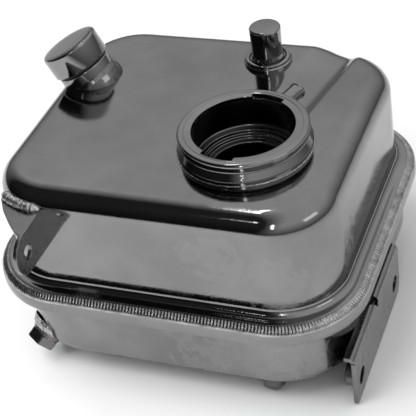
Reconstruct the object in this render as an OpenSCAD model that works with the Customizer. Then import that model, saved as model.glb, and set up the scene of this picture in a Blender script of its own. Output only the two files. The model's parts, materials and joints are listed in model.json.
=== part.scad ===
// Hydraulic reservoir: a welded pressed-steel tank held on two brackets.
// Millimetres, +Z up. The origin is midway between the two bolt holes of the side bracket,
// on the bracket's outer face. Every module below is drawn in tank coordinates, whose zero is
// the filler neck's axis at the top plate, and in_frame() moves it to the bracket origin.

/* [Tank] */
// Length of the seam flange, left to right
flange_length = 173; // [150:0.5:200]
// Depth of the seam flange, front to back
flange_depth = 158; // [140:0.5:180]
// Corner radius of the seam flange in plan
flange_corner = 38; // [30:0.5:45]
// Tank centre, left of the filler neck axis
centre_left = 29.1; // [20:0.1:40]
// Tank centre, behind the filler neck axis
centre_back = 19.1; // [10:0.1:30]
// Sheet thickness of both pressings
sheet = 1.5; // [1:0.1:2]
// How far the upper walls stand in from the flange edge, at the top
upper_inset = 10; // [8:0.1:12]
// How far the upper walls lean outward on the way down
wall_lean = 0.5; // [0:0.1:2]
// Radius where the top plate rolls over into the walls
top_roll = 10; // [6:0.5:14]
// Depth below the top plate where the walls start to turn out into the flange
foot_drop = 45.4; // [40:0.1:50]
// Radius of the turn from wall to flange
foot_radius = 3.5; // [2:0.1:5]
// Radius of the rolled flange bead
bead_radius = 5.5; // [4:0.1:7]
// Depth below the top plate of the upper sheet's cut edge
seam_drop = 57; // [52:0.1:62]
// Width of the ground weld track on the bead, as an angle
weld_arc = 38; // [20:1:50]
// Height of the weld track
weld_height = 0.3; // [0.1:0.1:0.6]

/* [Lower pan] */
// Left wall of the pan, inside the flange edge
pan_inset_left = 9.6; // [6:0.1:12]
// Right, front and back walls of the pan, inside the flange edge
pan_inset = 6.5; // [5:0.1:9]
// Corner radius of the pan in plan
pan_corner = 34; // [28:0.5:36]
// Radius round the bottom edge of the pan
pan_roll = 6; // [3:0.5:10]
// Depth of the pan's bottom below the top plate
pan_drop = 89; // [80:0.5:95]

/* [Pressed valley] */
// Depth of the valley at the back wall
valley_depth = 5.6; // [3:0.1:8]
// Level of the ridge beside the valley, below the plate
ridge_drop = 3.4; // [2:0.1:5]
// Width of the slope down into the valley
valley_slope = 19; // [12:0.5:24]
// Width of the rise from the valley up to the ridge
ridge_rise = 8; // [4:0.5:12]
// Turn of the valley line away from straight back
valley_turn = 9; // [0:0.5:20]
// Fall of the valley line towards the back
valley_fall = 4.2; // [2:0.1:6]

/* [Filler neck] */
// Height of the filler rim above the top plate
rim_height = 9.8; // [8:0.1:12]
// Outer radius of the rim
rim_radius = 28.5; // [26:0.1:31]
// Radius of the filler opening
opening_radius = 22.2; // [20:0.1:24]
// Outer radius of the two bayonet notches
notch_radius = 24.5; // [23:0.1:25]
// Half angle of a bayonet notch
notch_half_angle = 19; // [10:1:25]
// Direction of the rear bayonet notch
notch_turn = 80; // [60:1:100]
// Radius of the neck where it meets the top plate
neck_foot_radius = 29.4; // [28:0.1:31]
// Radius of the neck's waist
neck_waist_radius = 27; // [26:0.1:28]
// Inner radius of the throat
throat_radius = 23.5; // [22:0.1:24]
// Depth of the cap seat below the top plate
seat_drop = 10.2; // [8:0.1:14]
// Radius of the hole through the cap seat
seat_hole_radius = 16; // [12:0.5:18]

/* [Overflow nipple] */
// Direction the nipple points
nipple_turn = 72; // [60:1:90]
// Height of the nipple's axis above the top plate
nipple_height = 4; // [3:0.1:5]
// Outer radius of the nipple
nipple_radius = 3.5; // [3:0.1:4.5]
// Bore radius of the nipple
nipple_bore_radius = 2.6; // [2:0.1:3.5]
// Reach of the nipple's end from the neck axis
nipple_reach = 40.4; // [36:0.1:46]

/* [Tilted port] */
// Port axis at the top plate, left of the neck
port_left = 92.7; // [85:0.1:98]
// Port axis at the top plate, behind the neck
port_back = 42.3; // [35:0.1:48]
// Lean of the port towards the left wall
port_lean = 25.7; // [0:0.1:35]
// Outer radius of the port boss
boss_radius = 13; // [11:0.1:14]
// Length of the boss above the plate, along its axis
boss_rise = 5.6; // [4:0.1:9]
// Length of the boss below the plate, along its axis
boss_tail = 8; // [6:0.1:12]
// Radius of the cap's screw spigot
spigot_radius = 9; // [8:0.1:10]
// Length of the cap's screw spigot
spigot_length = 9; // [6:0.1:12]
// Radius of the port cap
port_cap_radius = 14.1; // [12:0.1:16]
// Height of the port cap
port_cap_height = 11.3; // [9:0.1:14]
// Thickness of the port gasket
gasket_height = 1.1; // [0.6:0.1:2]

/* [Breather] */
// Breather axis, left of the neck
breather_left = 10.8; // [5:0.1:15]
// Breather axis, behind the neck
breather_back = 66; // [60:0.1:72]
// Radius of the breather can
can_radius = 7.4; // [6:0.1:9]
// Height of the breather can's top above the top plate
can_top = 18.3; // [15:0.1:22]
// Outer radius of the collar it stands in
collar_radius = 11.2; // [10:0.1:13]
// Radius of the breather's push-in stem
stem_radius = 5; // [4:0.1:6]

/* [Drain plug] */
// Across-flats size of the plug's hexagon
plug_flats = 13; // [10:0.5:15]
// Height of the plug's hexagon
plug_head = 4.8; // [4:0.1:7]
// Radius of the plug's shank
plug_shank_radius = 4; // [3:0.1:5]
// Length of the plug's shank
plug_shank_length = 10; // [8:0.5:14]
// Radius of the round drain boss
drain_boss_radius = 7.6; // [6:0.1:9]

/* [Outlet] */
// Outlet stub axis, right of the neck
outlet_right = 16.4; // [10:0.1:25]
// Outlet stub axis, in front of the neck
outlet_front = 42; // [35:0.1:46]
// Outer radius of the outlet stub
outlet_radius = 5.2; // [4:0.1:6]
// Bore radius of the outlet stub
outlet_bore_radius = 3.6; // [2.5:0.1:4.5]
// Depth of the stub's end below the top plate
outlet_drop = 99; // [94:0.5:104]

/* [Brackets] */
// Thickness of the bracket plates
plate = 2; // [1.5:0.1:3]
// Outer face of the side bracket, right of the neck
side_face = 55.4; // [53:0.1:58]
// Distance between the side bracket's bolt holes
bolt_spacing = 60; // [50:0.5:70]
// Middle of the bolt holes, in front of the neck
bolt_middle_front = 6.2; // [0:0.1:12]
// Depth of the bolt holes below the top plate
bolt_drop = 90.7; // [86:0.1:95]
// Radius of the bolt holes
bolt_hole_radius = 4; // [3:0.1:5]
// Depth of the side bracket's top leg below the top plate
bracket_leg_drop = 73; // [68:0.5:78]
// Front ear: face towards the neck, left of the neck
ear_left = 76; // [72:0.1:80]
// Front ear: hole in front of the neck
ear_front = 66.4; // [60:0.1:70]
// Front ear: hole below the top plate
ear_drop = 17.2; // [12:0.1:22]
// Front ear: radius of its round end
ear_radius = 9.6; // [8:0.1:12]
// Front ear: hole radius
ear_hole_radius = 3.2; // [2.5:0.1:4]

/* [Hidden] */
$fn = 96;
steel = [0.62, 0.62, 0.63];
weld_steel = [0.75, 0.75, 0.76];
rubber = [0.08, 0.08, 0.08];
copper = [0.72, 0.45, 0.3];
felt = [0.75, 0.72, 0.62];
mesh_brass = [0.75, 0.62, 0.35];

// Corner centres of the flange, measured from the tank centre
flange_half_x = flange_length / 2 - flange_corner;
flange_half_y = flange_depth / 2 - flange_corner;
// Radii about those corner centres
wall_top_radius = flange_corner - upper_inset;
wall_foot_radius = wall_top_radius + wall_lean;
bead_centre = flange_corner - bead_radius;
flat_drop = foot_drop + foot_radius;
bead_drop = flat_drop + bead_radius;
// The pan's walls, in tank coordinates
pan_x0 = -centre_left - flange_length / 2 + pan_inset_left;
pan_x1 = -centre_left + flange_length / 2 - pan_inset;
pan_y0 = centre_back - flange_depth / 2 + pan_inset;
pan_y1 = centre_back + flange_depth / 2 - pan_inset;
pan_mid = [(pan_x0 + pan_x1) / 2, (pan_y0 + pan_y1) / 2];
pan_half = [(pan_x1 - pan_x0) / 2 - pan_corner, (pan_y1 - pan_y0) / 2 - pan_corner];
// Drain boss axis: out of the pan's front left bottom corner
drain_axis = [-0.5, -0.58, -0.643];
drain_point = [-93.1, -43.4, -86.9];
// Running clearance of the screws and the breather stem, on the radius
clear = 0.06;
bracket_top = -bracket_leg_drop;
// Longer than any wall it cuts through
through = 30;

module in_frame() {
    translate([-side_face, bolt_middle_front, bolt_drop]) children();
}

module in_tank_centre() {
    translate([-centre_left, centre_back, 0]) children();
}

// Turns +Z onto a direction
module pointing(direction) {
    reach = norm(direction);
    rotate([0, acos(direction[2] / reach), atan2(direction[1], direction[0])]) children();
}

// Carries a flat profile round a rounded rectangle. The profile's x is the distance out from
// the corner centres and its y is the height.
module around(half_x, half_y) {
    for (turn = [0 : 90 : 270]) {
        along = turn % 180 == 0 ? half_y : half_x;
        across = turn % 180 == 0 ? half_x : half_y;
        rotate(turn) {
            translate([across, along, 0]) rotate_extrude(angle = 90) children();
            translate([across, along, 0]) rotate([90, 0, 0]) linear_extrude(2 * along) children();
        }
    }
}

// One quarter of a flat ring, in the quadrant given by the two signs
module quarter_ring(outer, inner, side_x, side_y) {
    intersection() {
        difference() {
            circle(outer);
            if (inner > 0) circle(inner);
        }
        translate([side_x > 0 ? 0 : -outer, side_y > 0 ? 0 : -outer]) square(outer);
    }
}

module rounded_plan(half_x, half_y, radius, height) {
    linear_extrude(height) union() {
        square([2 * (half_x + radius), 2 * half_y], center = true);
        square([2 * half_x, 2 * (half_y + radius)], center = true);
        for (x = [-half_x, half_x], y = [-half_y, half_y]) translate([x, y]) circle(radius);
    }
}

// Solid block with rolled top edges and leaning walls, shrunk by a margin for the inside
module upper_block(margin) {
    radius = wall_top_radius - margin;
    roll = top_roll - margin;
    around(flange_half_x, flange_half_y) union() {
        translate([radius - roll, -top_roll]) quarter_ring(roll, 0, 1, 1);
        translate([0, -top_roll]) square([radius - roll, roll]);
        polygon([
            [0, -top_roll], [radius, -top_roll],
            [wall_foot_radius - margin, -foot_drop], [0, -foot_drop],
        ]);
    }
    translate([-flange_half_x, -flange_half_y, -foot_drop])
        cube([2 * flange_half_x, 2 * flange_half_y, foot_drop - margin]);
}

// Pressed valley: a shallow wedge that deepens towards the back right corner
module valley_tool() {
    back_y = centre_back + flange_depth / 2 - upper_inset;
    bottom_x = 28.4;
    reach = 80;
    behind = 20;
    clear = 10;
    right_end = 40;
    floor_half = 0.8;
    floor_z = 0.4 - valley_depth;
    translate([bottom_x, back_y, 0]) rotate([0, 0, -valley_turn]) rotate([90 - valley_fall, 0, 0])
        translate([0, 0, -behind]) linear_extrude(reach + behind) polygon([
            [-valley_slope - clear, clear],
            [-valley_slope, 0.3],
            [-floor_half, floor_z],
            [floor_half, floor_z],
            [ridge_rise, -ridge_drop],
            [right_end, -ridge_drop],
            [right_end, clear],
        ]);
}

module upper_outer() {
    difference() {
        in_tank_centre() upper_block(0);
        valley_tool();
    }
}

module upper_inner() {
    difference() {
        in_tank_centre() upper_block(sheet);
        translate([0, 0, -sheet]) valley_tool();
    }
}

module port_axis() {
    translate([-port_left, port_back, 0]) rotate([0, -port_lean, 0]) children();
}

module breather_axis() {
    translate([-breather_left, breather_back, 0]) children();
}

module drain_axis_at() {
    translate(drain_point) pointing(drain_axis) children();
}

module outlet_axis() {
    translate([outlet_right, -outlet_front, 0]) children();
}

module nipple_axis() {
    rotate(nipple_turn) translate([0, 0, nipple_height]) rotate([0, 90, 0]) children();
}

// The bead's section about its centre: quarter ring over a straight lip
module bead_section(outer, edge_drop) {
    translate([bead_centre, -bead_drop]) quarter_ring(outer, outer - sheet, 1, 1);
    translate([bead_centre + outer - sheet, -edge_drop]) square([sheet, edge_drop - bead_drop]);
}

module upper_shell() {
    color(steel) in_frame() union() {
        difference() {
            upper_outer();
            upper_inner();
            cylinder(h = through, r = throat_radius + sheet, center = true);
            port_axis() cylinder(h = through, r = boss_radius, center = true);
            breather_axis() cylinder(h = through, r = stem_radius + 2, center = true);
        }
        in_tank_centre() around(flange_half_x, flange_half_y) union() {
            translate([wall_foot_radius + foot_radius, -foot_drop])
                quarter_ring(foot_radius + sheet, foot_radius, -1, -1);
            translate([wall_foot_radius + foot_radius, -flat_drop - sheet])
                square([bead_centre - wall_foot_radius - foot_radius, sheet]);
            bead_section(bead_radius, seam_drop);
        }
    }
}

module pan_block(margin, top) {
    radius = pan_corner - margin;
    roll = pan_roll - margin;
    translate([pan_mid[0], pan_mid[1], 0]) {
        around(pan_half[0], pan_half[1]) union() {
            translate([radius - roll, -pan_drop + pan_roll]) quarter_ring(roll, 0, 1, -1);
            translate([0, -pan_drop + margin]) square([radius - roll, roll]);
            translate([0, -pan_drop + pan_roll]) square([radius, pan_drop - pan_roll + top]);
        }
        translate([-pan_half[0], -pan_half[1], -pan_drop + margin])
            cube([2 * pan_half[0], 2 * pan_half[1], pan_drop - margin + top]);
    }
}

module lower_shell() {
    web_top = -flat_drop - sheet;
    color(steel) in_frame() difference() {
        union() {
            pan_block(0, web_top);
            in_tank_centre() {
                around(flange_half_x, flange_half_y) bead_section(bead_radius - sheet, seam_drop + 1);
                translate([0, 0, web_top - sheet])
                    rounded_plan(flange_half_x, flange_half_y, bead_centre, sheet);
            }
        }
        pan_block(sheet, web_top + 1);
        drain_axis_at() cylinder(h = through, r = drain_boss_radius, center = true);
        outlet_axis() translate([0, 0, -pan_drop])
            cylinder(h = through, r = outlet_radius, center = true);
    }
}

module seam_weld() {
    middle = 47;
    reach = bead_radius * 2;
    color(weld_steel) in_frame() in_tank_centre() around(flange_half_x, flange_half_y)
        translate([bead_centre, -bead_drop]) intersection() {
            quarter_ring(bead_radius + weld_height, bead_radius, 1, 1);
            polygon([
                [0, 0],
                [reach * cos(middle - weld_arc / 2), reach * sin(middle - weld_arc / 2)],
                [reach * cos(middle + weld_arc / 2), reach * sin(middle + weld_arc / 2)],
            ]);
        }
}

// Upright plate that calms the oil; it is welded to the pan's floor and pierced low down
module baffle_plate() {
    left = 52;
    thickness = 1.2;
    width = 96;
    top = -24;
    floor_z = -pan_drop + sheet;
    hole_pitch = 32;
    low_hole_radius = 8;
    high_hole_radius = 6;
    color(steel) in_frame() translate([-left, pan_mid[1], 0]) difference() {
        translate([-thickness / 2, -width / 2, floor_z]) cube([thickness, width, top - floor_z]);
        for (step = [-1, 0, 1])
            translate([0, step * hole_pitch, floor_z + 14]) rotate([0, 90, 0])
                cylinder(h = 4, r = low_hole_radius, center = true);
        for (step = [-0.5, 0.5])
            translate([0, step * hole_pitch, top - 16]) rotate([0, 90, 0])
                cylinder(h = 4, r = high_hole_radius, center = true);
    }
}

module filler_neck() {
    top = rim_height - 2.2;
    color(steel) in_frame() difference() {
        rotate_extrude() polygon([
            [neck_foot_radius, 0], [neck_foot_radius - 1.1, 0.8], [neck_waist_radius + 0.5, 2],
            [neck_waist_radius, 3.6], [neck_waist_radius, top], [throat_radius + 2, top],
            [throat_radius + 2, 3.2], [throat_radius + 2.4, 1.4], [neck_foot_radius - 2, 0],
        ]);
        nipple_axis() cylinder(h = nipple_reach + 1, r = nipple_radius);
    }
}

module filler_throat() {
    top = rim_height - 2.2;
    wall = throat_radius + sheet;
    color(steel) in_frame() difference() {
        rotate_extrude() polygon([
            [throat_radius, top], [throat_radius, -6.2], [20.6, -6.8], [20.3, -8.2],
            [18.8, -8.6], [18.5, -9.8], [seat_hole_radius, -seat_drop],
            [seat_hole_radius, -seat_drop - sheet], [19.8, -seat_drop - 1.2],
            [22, -9.4], [wall - 0.6, -8.4], [wall, -7.4], [wall, top],
        ]);
        nipple_axis() cylinder(h = nipple_reach + 1, r = nipple_radius);
    }
}

// A wedge standing on a plane, with its point on the neck axis
module wedge(turn, half_angle, radius, height) {
    rotate(turn) linear_extrude(height) polygon([
        [0, 0], [radius * cos(half_angle), -radius * sin(half_angle)],
        [radius * cos(half_angle), radius * sin(half_angle)],
    ]);
}

// Rim with its turned-down lip and two bayonet notches. The lip is deeper along two cam ramps
// and stops short of the overflow nipple.
module filler_rim() {
    under = rim_height - 2.2;
    lip = rim_radius - 1.3;
    lip_depth = 0.9;
    ramp_depth = 1.7;
    nipple_gap = 9;
    relief = 0.2;
    far = 3 * rim_radius;
    color(steel) in_frame() difference() {
        rotate_extrude() polygon([
            [opening_radius, under], [opening_radius, rim_height - 0.5],
            [opening_radius + 0.4, rim_height - 0.2], [25.4, rim_height - 0.2],
            [25.7, rim_height], [rim_radius - 0.8, rim_height],
            [rim_radius, rim_height - 0.8], [rim_radius, under - ramp_depth],
            [lip, under - ramp_depth], [lip, under],
        ]);
        for (turn = [nipple_turn, nipple_turn + 180])
            translate([0, 0, under - 3]) wedge(turn, 55, far, 3 - lip_depth);
        translate([0, 0, under - 3]) wedge(nipple_turn, nipple_gap, far, 3 + relief);
        for (turn = [notch_turn, notch_turn + 180]) translate([0, 0, under - 1]) intersection() {
            cylinder(h = 5, r = notch_radius);
            wedge(turn, notch_half_angle, far, 5);
        }
    }
}

module neck_weld() {
    color(weld_steel) in_frame() difference() {
        rotate_extrude() translate([neck_foot_radius, 0]) circle(0.7);
        translate([0, 0, -5]) cylinder(h = 5, r = 40);
        rotate_extrude() polygon([
            [0, 0], [neck_foot_radius, 0], [neck_foot_radius - 1.1, 0.8], [0, 0.8],
        ]);
        nipple_axis() cylinder(h = nipple_reach + 1, r = nipple_radius);
    }
}

module overflow_nipple() {
    color(steel) in_frame() difference() {
        nipple_axis() union() {
            translate([0, 0, 20]) cylinder(h = nipple_reach - 20, r = nipple_radius);
            translate([0, 0, nipple_reach - 1.6]) cylinder(h = 1.2, r = nipple_radius + 0.4);
        }
        nipple_axis() cylinder(h = nipple_reach + 1, r = nipple_bore_radius);
        cylinder(h = 40, r = throat_radius, center = true);
    }
}

module port_boss() {
    color(steel) in_frame() port_axis() difference() {
        translate([0, 0, -boss_tail]) cylinder(h = boss_tail + boss_rise, r = boss_radius);
        translate([0, 0, -boss_tail - 1])
            cylinder(h = boss_tail + boss_rise + 2, r = spigot_radius + clear);
    }
}

// Flared weld skirt: a cone on the boss, cut to sit on the tank's skin
module port_weld() {
    foot_radius = boss_radius + 4.2;
    waist_radius = boss_radius + 1.8;
    far_left = 140;
    wall_x = -centre_left - flange_length / 2 + upper_inset - 0.5;
    color(weld_steel) in_frame() difference() {
        port_axis() difference() {
            translate([0, 0, -boss_tail]) union() {
                cylinder(h = boss_tail, r1 = foot_radius, r2 = waist_radius);
                translate([0, 0, boss_tail]) cylinder(h = 3, r1 = waist_radius, r2 = boss_radius);
            }
            translate([0, 0, -boss_tail - 1]) cylinder(h = boss_tail + 6, r = boss_radius);
        }
        upper_outer();
        translate([-far_left, 0, -60]) cube([far_left + wall_x, 90, 90]);
    }
}

module port_gasket() {
    color(rubber) in_frame() port_axis() translate([0, 0, boss_rise]) difference() {
        cylinder(h = gasket_height, r = boss_radius - 0.6);
        translate([0, 0, -1]) cylinder(h = gasket_height + 2, r = spigot_radius + 0.3);
    }
}

module port_cap() {
    under = boss_rise + gasket_height;
    color(steel) in_frame() port_axis() union() {
        translate([0, 0, under]) rotate_extrude() polygon([
            [0, 0], [port_cap_radius - 0.5, 0], [port_cap_radius, 0.5],
            [port_cap_radius, port_cap_height - 0.8],
            [port_cap_radius - 0.8, port_cap_height], [0, port_cap_height],
        ]);
        translate([0, 0, under - spigot_length - gasket_height]) difference() {
            cylinder(h = spigot_length + gasket_height, r = spigot_radius);
            translate([0, 0, -1]) cylinder(h = spigot_length, r = spigot_radius - 2.5);
        }
    }
}

module breather_collar() {
    color(steel) in_frame() breather_axis() difference() {
        union() {
            rotate_extrude() union() {
                polygon([
                    [0, 0], [collar_radius - 0.4, 0], [collar_radius, 0.5],
                    [collar_radius - 0.4, 1.2], [collar_radius - 1, 1.4], [8.2, 2], [0, 2],
                ]);
                translate([collar_radius - 1.9, 1.8]) circle(1.2);
            }
            translate([0, 0, -5]) cylinder(h = 5.5, r = stem_radius + 2);
        }
        translate([0, 0, -6]) cylinder(h = 12, r = stem_radius + clear);
    }
}

module breather_stem() {
    color(steel) in_frame() breather_axis() difference() {
        union() {
            translate([0, 0, -5]) cylinder(h = 7.1, r = stem_radius);
            translate([0, 0, 2.1]) cylinder(h = 2, r = can_radius - 1);
            translate([0, 0, 4.1]) cylinder(h = 8, r = 3);
        }
        translate([0, 0, -6]) cylinder(h = 20, r = 1.5);
        translate([0, 0, -2.4]) difference() {
            cylinder(h = 1.8, r = stem_radius + 1);
            translate([0, 0, -1]) cylinder(h = 4, r = stem_radius - 1.3);
        }
    }
}

module breather_seal() {
    color(rubber) in_frame() breather_axis() translate([0, 0, -2.4]) difference() {
        cylinder(h = 1.8, r = stem_radius);
        translate([0, 0, -1]) cylinder(h = 4, r = stem_radius - 1.3);
    }
}

module breather_filter() {
    color(felt) in_frame() breather_axis() translate([0, 0, 4.1]) difference() {
        cylinder(h = 9, r = can_radius - 1.4);
        translate([0, 0, -1]) cylinder(h = 12, r = 3);
    }
}

module breather_can() {
    color(steel) in_frame() breather_axis() difference() {
        rotate_extrude() polygon([
            [0, 2.1], [can_radius + 0.4, 2.1], [can_radius + 0.3, 2.8], [can_radius - 0.2, 4.5],
            [can_radius - 0.3, 9], [can_radius - 0.1, 14], [can_radius, can_top - 0.7],
            [can_radius - 0.2, can_top - 0.2], [can_radius - 0.7, can_top], [0, can_top],
        ]);
        translate([0, 0, 1]) cylinder(h = can_top - 2, r = can_radius - 1);
    }
}

module drain_boss() {
    color(steel) in_frame() drain_axis_at() difference() {
        translate([0, 0, -7]) cylinder(h = 8, r = drain_boss_radius);
        translate([0, 0, -8]) cylinder(h = 10, r = plug_shank_radius + clear);
    }
}

module drain_weld() {
    length = 4;
    color(weld_steel) in_frame() difference() {
        drain_axis_at() difference() {
            translate([0, 0, -length])
                cylinder(h = length, r1 = drain_boss_radius + 2.4, r2 = drain_boss_radius + 0.3);
            translate([0, 0, -length - 1]) cylinder(h = length + 3, r = drain_boss_radius);
        }
        pan_block(0, -flat_drop);
    }
}

module drain_washer() {
    color(copper) in_frame() drain_axis_at() translate([0, 0, 1]) difference() {
        cylinder(h = 1, r = 7);
        translate([0, 0, -1]) cylinder(h = 3, r = plug_shank_radius + 0.3);
    }
}

module drain_plug() {
    across_corners = plug_flats / cos(30);
    color(steel) in_frame() drain_axis_at() union() {
        translate([0, 0, 2]) intersection() {
            linear_extrude(plug_head) polygon([
                for (corner = [0 : 5])
                    across_corners / 2 * [cos(corner * 60 + 14), sin(corner * 60 + 14)]
            ]);
            cylinder(h = plug_head, r1 = across_corners / 2 + 4, r2 = across_corners / 2 - 0.7);
        }
        translate([0, 0, 2 - plug_shank_length]) cylinder(h = plug_shank_length, r = plug_shank_radius);
    }
}

module outlet_stub() {
    inside = 4;
    color(steel) in_frame() outlet_axis() difference() {
        union() {
            translate([0, 0, -outlet_drop + 1.4])
                cylinder(h = outlet_drop - 1.4 - pan_drop + sheet + inside, r = outlet_radius);
            translate([0, 0, -outlet_drop])
                cylinder(h = 1.4, r1 = outlet_radius - 1.3, r2 = outlet_radius);
        }
        translate([0, 0, -outlet_drop - 1])
            cylinder(h = outlet_drop, r = outlet_bore_radius);
    }
}

module suction_strainer() {
    foot = -pan_drop + sheet + 0.3;
    color(mesh_brass) in_frame() outlet_axis() difference() {
        translate([0, 0, foot]) cylinder(h = 26, r = 6.8);
        translate([0, 0, foot - 1]) cylinder(h = 28, r = 6);
        for (level = [5 : 4 : 21], turn = [22.5 : 45 : 337.5])
            translate([0, 0, foot + level]) rotate(turn) translate([5, 0, 0]) rotate([0, 90, 0])
                cylinder(h = 3, r = 1.3);
    }
}

module strainer_end() {
    foot = -pan_drop + sheet + 0.3;
    color(steel) in_frame() outlet_axis() {
        translate([0, 0, foot + 26]) cylinder(h = 1, r = 7.4);
        translate([0, 0, foot + 24.5]) cylinder(h = 1.5, r = 5.9);
    }
}

// Draws a flat shape on the side bracket's outer face and thickens it inward. The shape's x runs
// towards the front and its y runs up.
module on_side_face(thickness) {
    translate([side_face, 0, 0]) rotate([90, 0, -90]) linear_extrude(thickness) children();
}

// Upright plate with two bolt holes, bent over at the top into a leg that is welded to the pan
module side_bracket() {
    front = 45.2;
    back = -32;
    bottom = -100.4;
    back_round = 6;
    front_round = 1;
    bend_inside = 1;
    bend_outside = plate + bend_inside;
    upright_top = bracket_top - bend_outside;
    length = front - back;
    color(steel) in_frame() difference() {
        union() {
            on_side_face(plate) union() {
                translate([back, bottom + back_round])
                    square([length, upright_top - bottom - back_round]);
                translate([back + back_round, bottom])
                    square([length - back_round - front_round, back_round]);
                translate([front - front_round - 1, bottom + front_round])
                    square([front_round + 1, back_round - front_round]);
                translate([back + back_round, bottom + back_round]) circle(back_round);
                translate([front - front_round, bottom + front_round]) circle(front_round);
            }
            translate([side_face - bend_outside, -back, upright_top]) rotate([90, 0, 0])
                linear_extrude(length) quarter_ring(bend_outside, bend_inside, 1, 1);
            translate([pan_x1, -front, bracket_top - plate])
                cube([side_face - bend_outside - pan_x1, length, plate]);
        }
        on_side_face(10) for (side = [-0.5, 0.5])
            translate([bolt_middle_front + side * bolt_spacing, -bolt_drop]) circle(bolt_hole_radius);
        // Dart cut in the bend
        on_side_face(2.4) polygon([
            [12, bracket_top + 1], [4.5, bracket_top + 1], [5.3, bracket_top - 5.5],
        ]);
    }
}

module side_bracket_welds() {
    run = 14;
    color(weld_steel) in_frame() for (y = [-22, 2, 20])
        translate([pan_x1, y + run / 2, bracket_top - plate]) rotate([90, 0, 0])
            linear_extrude(run) quarter_ring(1.6, 0, 1, -1);
}

module weld_nut() {
    color(steel) in_frame()
        translate([side_face - plate, -bolt_middle_front - bolt_spacing / 2, -bolt_drop])
            rotate([0, -90, 0]) difference() {
                union() {
                    cylinder(h = 4, r = 5.6);
                    translate([0, 0, 4]) cylinder(h = 0.8, r1 = 5.6, r2 = 4.9);
                }
                translate([0, 0, -1]) cylinder(h = 8, r = bolt_hole_radius);
            }
}

// Folded bracket at the front left: a flat gusset on the corner and an ear turned down from it
// Upright ear plate, and the gusset that ties its top to the wall's front left corner
module front_bracket_solid() {
    top = -ear_drop + ear_radius;
    ear_back = 44;
    gusset_outline = [
        [-ear_left - plate, -40], [-ear_left - plate, -67.6], [-80, -65.4], [-86, -59.6],
        [-92.5, -52.2], [-97, -45.6], [-98.2, -42.5], [-96, -36],
    ];
    translate([-ear_left - plate, 0, 0]) rotate([90, 0, 90]) linear_extrude(plate) difference() {
        union() {
            translate([-ear_front, -ear_drop - ear_radius])
                square([ear_front - ear_back, 2 * ear_radius]);
            translate([-ear_front, -ear_drop]) circle(ear_radius);
        }
        translate([-ear_front, -ear_drop]) circle(ear_hole_radius);
    }
    translate([0, 0, top - plate]) linear_extrude(plate) polygon(gusset_outline);
}

module front_bracket() {
    color(steel) in_frame() difference() {
        front_bracket_solid();
        upper_outer();
    }
}

module front_bracket_weld() {
    corner = [-centre_left - flange_half_x, centre_back - flange_half_y];
    color(weld_steel) in_frame() difference() {
        translate([corner[0], corner[1], 0]) rotate(229) rotate_extrude(angle = 42)
            translate([wall_top_radius + 0.2, -6.6]) circle(2.1);
        upper_outer();
        front_bracket_solid();
    }
}

upper_shell();
lower_shell();
seam_weld();
baffle_plate();
filler_neck();
filler_throat();
filler_rim();
neck_weld();
overflow_nipple();
port_boss();
port_weld();
port_gasket();
port_cap();
breather_collar();
breather_stem();
breather_seal();
breather_filter();
breather_can();
drain_boss();
drain_weld();
drain_washer();
drain_plug();
outlet_stub();
suction_strainer();
strainer_end();
side_bracket();
side_bracket_welds();
weld_nut();
front_bracket();
front_bracket_weld();
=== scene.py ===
import json
import math

import bpy
import numpy as np
from mathutils import Matrix, Vector, noise


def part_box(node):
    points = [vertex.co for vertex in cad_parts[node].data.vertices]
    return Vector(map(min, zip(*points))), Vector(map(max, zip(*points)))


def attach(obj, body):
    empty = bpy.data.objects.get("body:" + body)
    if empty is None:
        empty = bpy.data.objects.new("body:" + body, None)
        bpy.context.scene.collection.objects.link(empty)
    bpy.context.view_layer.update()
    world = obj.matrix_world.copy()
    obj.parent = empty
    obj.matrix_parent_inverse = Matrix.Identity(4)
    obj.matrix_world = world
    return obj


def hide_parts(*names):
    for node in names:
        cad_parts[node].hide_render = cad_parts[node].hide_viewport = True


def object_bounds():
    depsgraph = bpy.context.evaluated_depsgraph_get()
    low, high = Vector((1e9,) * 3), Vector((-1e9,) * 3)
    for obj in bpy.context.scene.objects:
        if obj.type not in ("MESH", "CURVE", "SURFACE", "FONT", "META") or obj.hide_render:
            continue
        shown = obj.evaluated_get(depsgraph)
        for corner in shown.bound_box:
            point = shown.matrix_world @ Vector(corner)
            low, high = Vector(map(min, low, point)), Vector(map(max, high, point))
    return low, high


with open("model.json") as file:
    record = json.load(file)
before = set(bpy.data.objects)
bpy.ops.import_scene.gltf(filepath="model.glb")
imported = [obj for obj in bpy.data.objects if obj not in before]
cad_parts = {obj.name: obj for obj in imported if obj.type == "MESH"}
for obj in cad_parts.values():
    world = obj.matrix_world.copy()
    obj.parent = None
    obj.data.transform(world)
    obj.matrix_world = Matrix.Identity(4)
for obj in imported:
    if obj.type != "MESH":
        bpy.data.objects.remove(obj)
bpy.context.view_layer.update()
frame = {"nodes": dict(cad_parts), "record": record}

MM = 0.001

# ---------------------------------------------------------------- where things are
# Lengths are millimetres in tank coordinates: zero is the filler neck's axis at the top plate,
# +X right, +Y to the back wall, +Z up.
rim_low, rim_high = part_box("filler_rim")
neck_weld_low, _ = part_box("neck_weld")
TANK_ZERO = Vector(
    ((rim_low.x + rim_high.x) / 2, (rim_low.y + rim_high.y) / 2, neck_weld_low.z)
)

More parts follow.
